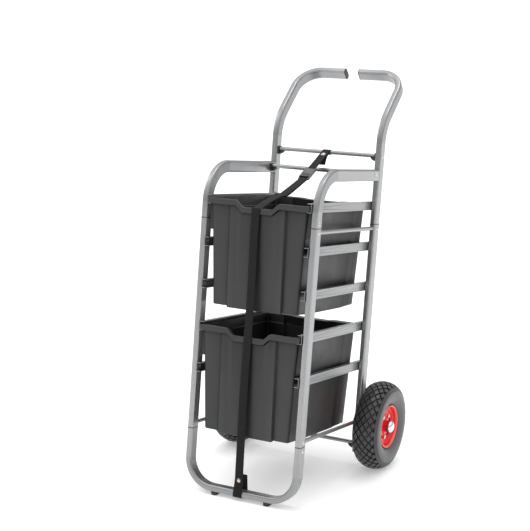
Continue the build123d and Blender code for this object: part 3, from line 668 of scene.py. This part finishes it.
def tread_block(shape, around, across, half_length, half_width, wheel_radius):
    """One diamond block with slightly sloping flanks and a chamfered top."""
    rings = []
    for rise, grow in ((-GROOVE_DEPTH - 0.0004, 1.10), (-0.0007, 1.0), (0, 0.86)):
        ring = []
        for along, aside in ((1, 0), (0, 1), (-1, 0), (0, -1)):
            place = (around + along * half_length * grow, across + aside * half_width * grow)
            ring.append(on_tread(*place, rise, wheel_radius))
        rings.append(ring)
    close_ends(shape, join_rings(shape, rings))


def tyre(side_name, side):
    low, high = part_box(side_name + "_tyre")
    wheel_radius = (high.z - low.z) / 2
    half = (high.x - low.x) / 2
    waist = (half, (TYRE_BORE[0][1] + wheel_radius) / 2)
    outer_side = []
    for x, r in arc_through(BEAD, waist, SHOULDER, 20):
        relief = 0.0006 if WALL_RIB[0] < r < WALL_RIB[1] else 0
        relief -= 0.0012 if WALL_GROOVE[0] < r < WALL_GROOVE[1] else 0
        outer_side.append((x + relief - 0.0004, r))
    inner_side = [(-x, r) for x, r in reversed(outer_side)]
    across_max = CROWN_ARC_RADIUS * math.asin(SHOULDER[0] / CROWN_ARC_RADIUS)
    crown = []
    for step in range(CROWN_STEPS + 1):
        across = across_max * (1 - 2 * step / CROWN_STEPS) * 0.93
        x, _, r = on_tread(0, across, -GROOVE_DEPTH, wheel_radius)
        crown.append((x, r))
    inside = [(-x, r) for x, r in TYRE_BORE] + list(reversed(TYRE_BORE))
    shape = bmesh.new()
    lathe(shape, outer_side + crown + inner_side + inside, 144)
    pitch = 2 * math.pi * wheel_radius / TREAD_BLOCKS
    row_pitch = 2 * across_max / TREAD_ROWS
    half_length = pitch / 2 - GROOVE_WIDTH * 0.62
    half_width = row_pitch - GROOVE_WIDTH * 0.62
    for row in range(TREAD_ROWS):
        across = (row - (TREAD_ROWS - 1) / 2) * row_pitch
        for number in range(TREAD_BLOCKS):
            around = (number + 0.5 * (row % 2)) * pitch
            tread_block(shape, around, across, half_length, half_width, wheel_radius)
    place = wheel_place(side_name, side)
    mesh = to_mesh(side_name + "_tyre", shape, place)
    made = piece(
        side_name + "_tyre_tread", mesh, side_name + "_wheel", "tyre_rubber",
        [side_name + "_tyre"], sharp=34,
    )

    # The side walls: greyer rubber, made paler still as a painted sheen.
    def grey_and_sheen_wall(x, r):
        return min(1, max(0, (GREY_AND_SHEEN_WALL_RADIUS - r) / 0.002)) if abs(x) > 0.02 else 0

    mark_pale_and_sheen(made, place, grey_and_sheen_wall)


def cut(mesh, cutters):
    """The mesh with a bmesh of holes cut out of it."""
    made, tool = placed("work", mesh), placed("cutter", to_mesh("cutter", cutters))
    hole = made.modifiers.new("holes", "BOOLEAN")
    hole.operation = "DIFFERENCE"
    hole.solver = "EXACT"
    hole.object = tool
    bpy.context.view_layer.update()
    graph = bpy.context.evaluated_depsgraph_get()
    result = bpy.data.meshes.new_from_object(made.evaluated_get(graph))
    for used in (made, tool):
        bpy.data.objects.remove(used)
    return result


def outer_rim(side_name, side):
    """The pressed outer rim: rolled lip, dished disc with oval holes, and the hub collar."""
    lip = arc_through((0.0302, 0.0632), (0.0322, 0.0612), (0.0300, 0.0585), 10)
    dish = arc_through((0.0245, 0.0556), (0.0190, 0.0535), (0.0172, 0.0490), 8)
    collar = arc_through((0.0172, 0.0250), (0.0184, 0.0236), (0.0215, 0.0228), 5)
    outline = [(0.0283, 0.0598), (0.0283, 0.0632)] + lip + dish + collar
    outline += [(0.0215, 0.0172), (0.0150, 0.0172), (0.0150, 0.0500), (0.0165, 0.0548)]
    outline += [(0.0200, 0.0566), (0.0278, 0.0574), (0.0002, 0.0575), (0.0002, 0.0596)]
    shape = bmesh.new()
    lathe(shape, outline, 120)
    cutters = bmesh.new()
    for number in range(RIM_HOLES):
        turn = Matrix.Rotation(2 * math.pi * number / RIM_HOLES, 4, "X")
        oval = Matrix.Diagonal((1, 1.5, 1, 1))
        face_x = Matrix.Rotation(math.pi / 2, 4, "Y")
        place = turn @ Matrix.Translation((0.016, 0, RIM_HOLE_CIRCLE)) @ oval @ face_x
        bmesh.ops.create_cone(
            cutters, cap_ends=True, segments=24, radius1=RIM_HOLE_RADIUS,
            radius2=RIM_HOLE_RADIUS, depth=0.014, matrix=place,
        )
    mesh = cut(to_mesh(side_name + "_rim", shape), cutters)
    place = wheel_place(side_name, side)
    mesh.transform(place)
    if side < 0:
        mesh.flip_normals()
    made = piece(
        side_name + "_rim_pressing", mesh, side_name + "_wheel", "rim_paint",
        [side_name + "_rim_outer"], sharp=32,
    )
    # the painted highlight along the rolled lip
    mark_pale_and_sheen(made, place, lambda x, r: 0.8 if r > 0.0572 and x > 0.0285 else 0)
    bevel(made, 0.0005, angle=40)


def dome(start, radius, height, steps=12):
    """Outline of a domed cap with a short drum, as (X, radius)."""
    drum = height * 0.35
    outline = [(start, 0.0001), (start, radius), (start + drum, radius)]
    for step in range(1, steps):
        angle = math.pi / 2 * step / steps
        x = start + drum + (height - drum) * math.sin(angle)
        outline.append((x, radius * math.cos(angle)))
    outline.append((start + height, 0.0001))
    return outline


def hub_caps():
    low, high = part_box("hub_caps")
    radius = (high.z - low.z) / 2
    for side_name, side in SIDES:
        start = high.x - abs(middle(side_name + "_tyre").x) - HUB_CAP_HEIGHT
        shape = bmesh.new()
        lathe(shape, dome(start, radius * 0.96, HUB_CAP_HEIGHT), 64, closed=False)
        mesh = to_mesh(side_name + "_cap", shape, wheel_place(side_name, side))
        replaced = ["hub_caps"] if side > 0 else []
        piece(side_name + "_hub_dome", mesh, "frame", "hub_chrome", replaced)
        ring = bmesh.new()
        band = [(start, radius * 0.9), (start, radius), (start + 0.0028, radius)]
        band += [(start + 0.0040, radius * 0.97), (start + 0.0040, radius * 0.9)]
        lathe(ring, band, 64)
        mesh = to_mesh(side_name + "_seal", ring, wheel_place(side_name, side))
        piece(side_name + "_hub_seal", mesh, "frame", "black_plastic")


for wheel_name, wheel_side in SIDES:
    tyre(wheel_name, wheel_side)
    outer_rim(wheel_name, wheel_side)
hub_caps()


# ---- screws ----
SCREW_RADIUS = 0.0060
SCREW_HEIGHT = 0.0032
RECESS_HALF_WIDTH = 0.0007
RECESS_REACH = 0.0033
RECESS_DEPTH = 0.0016


def pan_head(shape, centre, side, turn):
    """A pan head with a cross recess, its axis along X and its face towards side."""
    rings, spokes = 12, 48
    rows = []
    for ring in range(1, rings + 1):
        share = ring / rings
        radius = SCREW_RADIUS * share
        rise = SCREW_HEIGHT * (1 - share ** 4) ** 0.5 if share < 1 else 0
        row = []
        for spoke in range(spokes):
            angle = 2 * math.pi * spoke / spokes
            y, z = radius * math.cos(angle), radius * math.sin(angle)
            in_cross = min(abs(y), abs(z)) < RECESS_HALF_WIDTH and radius < RECESS_REACH
            depth = RECESS_DEPTH if in_cross else 0
            turned_y = y * math.cos(turn) - z * math.sin(turn)
            turned_z = y * math.sin(turn) + z * math.cos(turn)
            row.append(centre + Vector((side * (rise - depth), turned_y, turned_z)))
        rows.append(row)
    join_rings(shape, rows)
    shape.faces.new([shape.verts.new(place) for place in rows[0]])


def screws():
    """All pan-head screws on the outer faces, at the CAD screws' places."""
    for node in ("joint_screws", "crossbar_screws"):
        shape = bmesh.new()
        for number, (centre, side) in enumerate(screw_places(node)):
            pan_head(shape, centre, side, turn=0.7 * number)
        bmesh.ops.remove_doubles(shape, verts=shape.verts, dist=0.00001)
        mesh = to_mesh(node + "_heads", shape, LEANED)
        piece(node + "_heads", mesh, "frame", "zinc_steel", [node], sharp=40)


def screw_places(node):
    """Centre of each screw head's seat in own directions, and the side it faces."""
    mesh = frame["nodes"][node].data
    shape = bmesh.new()
    shape.from_mesh(mesh)
    bmesh.ops.remove_doubles(shape, verts=shape.verts, dist=0.00001)
    left = set(shape.verts)
    places = []
    while left:
        stack, group = [left.pop()], []
        while stack:
            vertex = stack.pop()
            group.append(UPRIGHT @ vertex.co)
            for edge in vertex.link_edges:
                other = edge.other_vert(vertex)
                if other in left:
                    left.remove(other)
                    stack.append(other)
        side = 1 if sum(place.x for place in group) > 0 else -1
        tip = max(abs(place.x) for place in group)
        head = [place for place in group if abs(place.x) > tip - SCREW_HEIGHT * 1.1]
        y = (min(place.y for place in head) + max(place.y for place in head)) / 2
        z = (min(place.z for place in head) + max(place.z for place in head)) / 2
        places.append((Vector((side * (tip - SCREW_HEIGHT), y, z)), side))
    shape.free()
    return sorted(places, key=lambda place: (place[1], place[0].y, place[0].z))


screws()


# ---- strap ----
STRAP_WIDTH = 0.025
STRAP_SHEET = 0.0016
SELVEDGE = 0.0011
STITCH_PITCH = 0.0032
STRAP_SLOPE = math.radians(30.3)
BAR_LOOP_RADIUS = 0.0071
BUCKLE_AT = 0.108
BUCKLE_LENGTH = 0.062
LOOP_TURN = 248                # degrees that the webbing goes round the handle bar
FORWARD = Vector((-math.cos(STRAP_SLOPE), -math.sin(STRAP_SLOPE)))
UPWARD = Vector((-math.sin(STRAP_SLOPE), math.cos(STRAP_SLOPE)))
BAR = Vector((POST_PITCH, HANDLE_BAR_HEIGHT))
STRAP_START = BAR + UPWARD * BAR_LOOP_RADIUS


def along_strap(distance, above=0.0):
    """A point on the sloping stretch, as (Y, Z) in own directions."""
    return STRAP_START + FORWARD * distance + UPWARD * above


def ribbon_shape(line, sway, width):
    """Webbing along a line of (Y, Z) points: a flat band with rounded selvedges."""
    shape = bmesh.new()
    weave = shape.loops.layers.uv.new("weave")

    def face(corners):
        made = shape.faces.new([corner[0] for corner in corners])
        for loop, corner in zip(made.loops, corners):
            loop[weave].uv = corner[1:]

    half = width / 2
    across = [-half, -half + SELVEDGE, -half * 0.5, 0, half * 0.5, half - SELVEDGE, half]
    profile = []
    for index, x in enumerate(across):
        edge = index in (0, len(across) - 1)
        profile.append((x, STRAP_SHEET * (0.22 if edge else 0.5)))
    section = profile + [(x, -rise) for x, rise in reversed(profile)]
    rows, travelled = [], 0.0
    for index, point in enumerate(line):
        before, after = line[max(0, index - 1)], line[min(len(line) - 1, index + 1)]
        if index:
            travelled += (point - line[index - 1]).length
        ahead = (after - before).normalized()
        normal = Vector((-ahead.y, ahead.x))
        shift, roll = sway(travelled) if sway else (0.0, 0.0)
        row = []
        for x, rise in section:
            lift = rise + math.sin(roll) * x
            place = point + normal * lift
            vertex = shape.verts.new((x * math.cos(roll) + shift, place.x, place.y))
            row.append((vertex, x, travelled))
        rows.append(row)
    count = len(section)
    for first, second in zip(rows, rows[1:]):
        for index in range(count):
            after = (index + 1) % count
            face((first[index], first[after], second[after], second[index]))
    face(rows[0][::-1])
    face(rows[-1])
    return shape


def strap_piece(name, line, body, replaces=(), sway=None, width=STRAP_WIDTH):
    """Webbing as a piece; sway gives a sideways shift and a roll at a distance along it."""
    shape = ribbon_shape(resampled(line, 0.003), sway, width)
    mesh = to_mesh(name, shape, LEANED)
    return piece(name, mesh, body, "webbing", replaces, sharp=50)


def stitch_rows(places, name, body):
    """Short raised stitches, each from its start, end and surface normal in own directions."""
    shape = bmesh.new()
    for start, end, normal in places:
        ahead = (end - start).normalized()
        side = ahead.cross(normal) * 0.00035
        middle_place = (start + end) / 2 + normal * 0.00045
        ring = [middle_place + side, middle_place + normal * 0.00025, middle_place - side]
        tips = [shape.verts.new(start), shape.verts.new(end)]
        ring.append((start + end) / 2 - normal * 0.0002)
        corners = [shape.verts.new(place) for place in ring]
        for index in range(4):
            after = (index + 1) % 4
            for tip in tips:
                shape.faces.new((tip, corners[index], corners[after]))
    mesh = to_mesh(name, shape, LEANED)
    return piece(name, mesh, body, "webbing", finish="thread", sharp=80)


def stitched_box(centre, ahead, normal, length, width):
    """Stitches round a box with a cross in it, on the strap at centre."""
    aside = Vector((1, 0, 0))
    corners = []
    for along, across in ((-1, -1), (1, -1), (1, 1), (-1, 1)):
        corners.append(centre + ahead * along * length / 2 + aside * across * width / 2)
    lines = [(corners[index], corners[(index + 1) % 4]) for index in range(4)]
    lines += [(corners[0], corners[2]), (corners[1], corners[3])]
    stitches = []
    for start, end in lines:
        count = max(1, int((end - start).length / STITCH_PITCH))
        for number in range(count):
            first = start.lerp(end, (number + 0.12) / count)
            last = start.lerp(end, (number + 0.88) / count)
            stitches.append((first, last, normal))
    return stitches


def in_space(point):
    """A (Y, Z) point or direction, put in the trolley's middle plane."""
    return Vector((0, point[0], point[1]))


def upper_strap():
    """The loop round the handle bar, the stretch to the buckle, and the loose end under it."""
    loop = []
    for step in range(25):
        angle = math.atan2(UPWARD.y, UPWARD.x) - math.radians(LOOP_TURN * (1 - step / 24))
        loop.append(BAR + Vector((math.cos(angle), math.sin(angle))) * BAR_LOOP_RADIUS)
    run = [along_strap(distance / 1000) for distance in range(3, 111, 3)]
    strap_piece("strap_upper_length", loop + run, "strap_top", ["strap_top"])
    under = -STRAP_SHEET - 0.0004
    tail = [along_strap(0.010, under - 0.0006), along_strap(0.030, under)]
    tail += [along_strap(0.042, under - 0.004), along_strap(0.058, under - 0.014)]
    strap_piece(
        "strap_upper_tail", rounded(tail, [0.03, 0.03]), "strap_top",
        sway=lambda d: (0.002 + d * 0.06, 0.0),
    )
    centre = in_space(along_strap(0.048, STRAP_SHEET / 2))
    stitches = stitched_box(centre, in_space(FORWARD), in_space(UPWARD), 0.020, 0.018)
    stitch_rows(stitches, "strap_upper_stitches", "strap_top")


SEAM = UPRIGHT @ Vector(joint("strap_upper_run_swing")["pos_m"])
ELBOW = UPRIGHT @ Vector(joint("strap_lower_run_swing")["pos_m"])
RUN_Y = SEAM.y
SPLIT_HEIGHT = (SEAM.z + ELBOW.z) / 2
FOOT_Y = -0.0181
FOOT_SEAM = 0.048
SLACK_LINE = ((0.1265, 0.8506), (0.0816, 0.8449), (0.0187, 0.8279))
TAIL_LINE = ((0.1760, 0.8638), (0.1330, 0.8484), (0.1130, 0.8440))


def front_strap():
    """The slack stretch over the upper tray and the long run down to the hoop."""
    rim_y, rim_z = RUN_Y + 0.0107, SEAM.z + 0.0091
    slack = [along_strap(BUCKLE_AT + BUCKLE_LENGTH - 0.004), *SLACK_LINE]
    slack += [(rim_y, rim_z), (RUN_Y, rim_z), (RUN_Y, SPLIT_HEIGHT - 0.0005)]
    line = rounded(slack, [0.012, 0.05, 0.04, 0.01, 0.0022])
    over = strap_piece("strap_over_and_down", line, None, ["strap_over_tray"], slack_sway)
    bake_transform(over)
    shift, roll = sway_at_split(line)
    run = [(RUN_Y, SPLIT_HEIGHT + 0.0005), (RUN_Y, ELBOW.z), (FOOT_Y - 0.0016, FOOT_SEAM - 0.012)]
    down = strap_piece(
        "strap_lower_length", rounded(run, [0.12]), None,
        ["strap_upper_run", "strap_lower_run"],
        sway=lambda d: (shift * max(0, 1 - d / 0.2), roll * max(0, 1 - d / 0.2)),
    )
    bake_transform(down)
    doubled = [along_strap(BUCKLE_AT + BUCKLE_LENGTH - 0.006, -0.0034), *TAIL_LINE]
    strap_piece(
        "strap_buckle_tail", rounded(doubled, [0.05, 0.05]), "upper_tray",
        sway=lambda d: (0.001 + d * 0.02, -0.05),
    )


def slack_sway(distance):
    """The sideways shift and roll of the slack stretch."""
    return (0.0015 * math.sin(distance * 14), 0.05 * math.sin(distance * 9))


def sway_at_split(line):
    """The sideways shift and roll of the upper piece at its lower end."""
    length = sum((b - a).length for a, b in zip(line, line[1:]))
    return slack_sway(length)


def foot_strap():
    """The loop round the hoop with its loose end behind."""
    stand, low = -FOOT_Y, 0.0078
    loop = [(-stand, FOOT_SEAM + 0.014), (-stand, low), (stand, low)]
    loop += [(stand, 0.0290), (stand - 0.010, 0.070)]
    strap_piece(
        "strap_foot_length", rounded(loop, [0.006, 0.006, 0.02]), "frame", ["strap_foot_loop"],
        sway=lambda d: (-0.004 * min(1, d / 0.05) + max(0, d - 0.120) * 0.05, 0.0),
        width=0.027,
    )
    centre = Vector((0, FOOT_Y - STRAP_SHEET * 1.55, FOOT_SEAM + 0.022))
    slope = (ELBOW.z - FOOT_SEAM, RUN_Y - FOOT_Y)
    ahead = Vector((0, slope[1], slope[0])).normalized()
    normal = Vector((0, -ahead.z, ahead.y))
    stitches = stitched_box(centre, ahead, normal, 0.016, 0.018)
    stitch_rows(stitches, "strap_foot_stitches", "strap_lower_run")


STUD_RADIUS = 0.0074


def stud(node, body):
    """A press stud: a spun dome on a flange, along the CAD stud's own axis."""
    mesh = frame["nodes"][node].data
    centre = sum((vertex.co for vertex in mesh.vertices), Vector()) / len(mesh.vertices)
    if node == "top_press_stud":
        axis = TILT.to_3x3() @ in_space(UPWARD)
    else:
        slope = Vector((0, FOOT_Y - RUN_Y, FOOT_SEAM - ELBOW.z)).normalized()
        axis = TILT.to_3x3() @ Vector((0, slope.z, -slope.y))
    reaches = [(vertex.co - centre).dot(axis) for vertex in mesh.vertices]
    seat = centre + axis * min(reaches)
    radius, height = STUD_RADIUS, max(reaches) - min(reaches)
    outline = [(0, 0.0001), (0, radius), (height * 0.18, radius), (height * 0.30, radius * 0.93)]
    outline += [(height * 0.26, radius * 0.80), (height * 0.45, radius * 0.76)]
    for step in range(1, 8):
        angle = math.pi / 2 * step / 8
        share = 0.45 + 0.55 * math.sin(angle)
        outline.append((height * share, radius * 0.76 * math.cos(angle)))
    outline.append((height, 0.0001))
    shape = bmesh.new()
    lathe(shape, outline, 40, closed=False)
    turn = Vector((1, 0, 0)).rotation_difference(axis).to_matrix().to_4x4()
    mesh = to_mesh(node, shape, Matrix.Translation(seat) @ turn)
    piece(node + "_cap", mesh, body, "stud_metal", [node], sharp=45)


BUCKLE_HALF = 0.017
BUCKLE_HEIGHT = 0.008
PIN_Y = 0.009
PIN_Z = 0.001


def buckle_place():
    """From the buckle's frame: X across, Y forward along the strap, Z up off it."""
    axes = Matrix((Vector((-1, 0, 0)), in_space(FORWARD), in_space(UPWARD)))
    origin = Matrix.Translation(in_space(along_strap(BUCKLE_AT)))
    return LEANED @ origin @ axes.transposed().to_4x4()


def buckle():
    """The cam buckle: cheeks, floor with grip bars, end bars, and the ribbed lever."""
    low, high = -BUCKLE_HEIGHT / 2, BUCKLE_HEIGHT / 2
    cheek = 0.003
    shape = bmesh.new()
    for side in (-1, 1):
        inner, outer = side * (BUCKLE_HALF - cheek), side * BUCKLE_HALF
        outline = rounded(
            [(0.004, low), (0.0, low + 0.004), (0.002, high), (0.050, high), (BUCKLE_LENGTH, 0.0),
             (BUCKLE_LENGTH - 0.003, low)],
            [0.002, 0.002, 0.004, 0.003],
        )
        add_prism(shape, outline, min(inner, outer), max(inner, outer))
    reach = BUCKLE_HALF - cheek * 0.5
    add_block(shape, (-reach, 0.002, low), (reach, BUCKLE_LENGTH - 0.004, low + 0.0016))
    add_block(shape, (-reach, BUCKLE_LENGTH - 0.006, low), (reach, BUCKLE_LENGTH - 0.002, 0.0005))
    for number in range(4):
        y = PIN_Y + 0.001 + number * 0.0024
        add_block(shape, (-reach * 0.85, y, low + 0.0014), (reach * 0.85, y + 0.001, low + 0.0024))
    mesh = to_mesh("buckle_body", shape, buckle_place())
    body = piece("buckle_body", mesh, "strap_top", "buckle_plastic", ["buckle_frame"])
    bevel(body, 0.0005, angle=35)

    lever = bmesh.new()
    half = BUCKLE_HALF - cheek - 0.0008
    outline = rounded(
        [(PIN_Y - 0.003, PIN_Z - 0.001), (PIN_Y - 0.002, PIN_Z + 0.0032),
         (PIN_Y + 0.030, PIN_Z + 0.0028), (PIN_Y + 0.0435, PIN_Z + 0.0050),
         (PIN_Y + 0.0440, PIN_Z + 0.0030), (PIN_Y + 0.032, PIN_Z + 0.0002),
         (PIN_Y + 0.003, PIN_Z - 0.0012)],
        [0.002, 0.004, 0.003, 0.001, 0.004],
    )
    add_prism(lever, outline, -half, half)
    for number in range(5):
        y = PIN_Y + 0.026 + number * 0.0032
        rise = PIN_Z + 0.0028 + max(0, y - PIN_Y - 0.030) * 0.17
        add_block(lever, (-half * 0.86, y, rise - 0.0005), (half * 0.86, y + 0.0012, rise + 0.0008))
    mesh = to_mesh("buckle_cam_lever", lever, buckle_place())
    cam = piece("buckle_cam_lever", mesh, "buckle_lever", "buckle_plastic", ["buckle_lever"])
    bevel(cam, 0.0004, angle=35)


upper_strap()
front_strap()
foot_strap()
stud("top_press_stud", "strap_top")
stud("foot_press_stud", "strap_lower_run")
buckle()


# ---- carried-over CAD nodes ----
SOFTENED = ("crossbar_sockets", "rubber_feet", "tube_end_caps")


def dress_cad_nodes():
    """Each CAD node takes its record slot's finish; blocky ones get softened edges."""
    slots = {row["node"]: row["material_slot"] for row in frame["record"]["subparts"]}
    for node, made in frame["nodes"].items():
        made.data.materials.clear()
        made.data.materials.append(FINISHES[slots[node]].material)
        if node in SOFTENED or "runner_" in node and "rivets" not in node:
            weld = made.modifiers.new("joined", "WELD")
            weld.merge_threshold = 0.00001
            bevel(made, 0.0004, angle=40)


dress_cad_nodes()


# ---- studio ----
TARGET = Vector((0, -0.35079, 0.620))
AZIMUTH = math.radians(28.99)
ELEVATION = math.radians(13.69)
DISTANCE = 3.6563
LIGHTS_AIM = Vector((0, 0, 0.7))
FLOOR_REACH = 60.0


def camera():
    flat = math.cos(ELEVATION)
    back = Vector((math.sin(AZIMUTH) * flat, -math.cos(AZIMUTH) * flat, math.sin(ELEVATION)))
    data = bpy.data.cameras.new("camera")
    data.lens = 92.495
    data.shift_x = 0.0454
    data.shift_y = 0.0335
    data.clip_end = 200
    made = placed("camera", data)
    made.location = TARGET + back * DISTANCE
    made.rotation_euler = (-back).to_track_quat("-Z", "Y").to_euler()
    bpy.context.scene.camera = made


def floor():
    """A wide pale floor with a very faint unevenness of tone."""
    paper = Finish("floor_paper", Roughness=0.8, Emission_Strength=0.32, Emission_Color=(1,) * 4)
    tones = paper.noise(0.8, 3.0)
    paper.mottle(tones, 0, 1, (0.805, 0.805, 0.808), (0.795, 0.795, 0.797))
    mesh = bpy.data.meshes.new("floor")
    corners = [(-1, -1), (1, -1), (1, 1), (-1, 1)]
    places = [(x * FLOOR_REACH, y * FLOOR_REACH, 0) for x, y in corners]
    mesh.from_pydata(places, [], [(0, 1, 2, 3)])
    mesh.materials.append(paper.material)
    placed("floor", mesh)


def softbox(name, place, size, power):
    """A soft rectangular light turned to the middle of the trolley."""
    data = bpy.data.lights.new(name, "AREA")
    data.shape = "RECTANGLE"
    data.size, data.size_y = size
    data.energy = power
    made = placed(name, data)
    made.location = place
    made.rotation_euler = (LIGHTS_AIM - Vector(place)).to_track_quat("-Z", "Y").to_euler()


def lights():
    """A world brighter towards the top, a high wide sun, and two softboxes."""
    world = bpy.data.worlds.new("studio")
    world.use_nodes = True
    tree = world.node_tree
    direction = tree.nodes.new("ShaderNodeTexCoord").outputs["Generated"]
    split = tree.nodes.new("ShaderNodeSeparateXYZ")
    tree.links.new(direction, split.inputs[0])
    glow = tree.nodes.new("ShaderNodeMapRange")
    tree.links.new(split.outputs[2], glow.inputs["Value"])
    for socket, value in (("From Min", -0.05), ("To Min", 0.30), ("To Max", 1.55)):
        glow.inputs[socket].default_value = value
    tree.links.new(glow.outputs[0], tree.nodes["Background"].inputs[1])
    tree.nodes["Background"].inputs[0].default_value = (1, 1, 1, 1)
    bpy.context.scene.world = world
    sun = bpy.data.lights.new("key", "SUN")
    sun.energy = 0.7
    sun.angle = math.radians(24)
    towards = Vector((0.05, -0.10, -1.0))
    placed("key", sun).rotation_euler = towards.to_track_quat("-Z", "Y").to_euler()
    softbox("left_softbox", (-1.8, -0.6, 2.2), (0.5, 1.4), 14)
    softbox("right_softbox", (2.4, 0.9, 1.8), (0.3, 1.6), 1.5)


camera()
floor()
lights()
bpy.context.scene.view_settings.view_transform = "Standard"
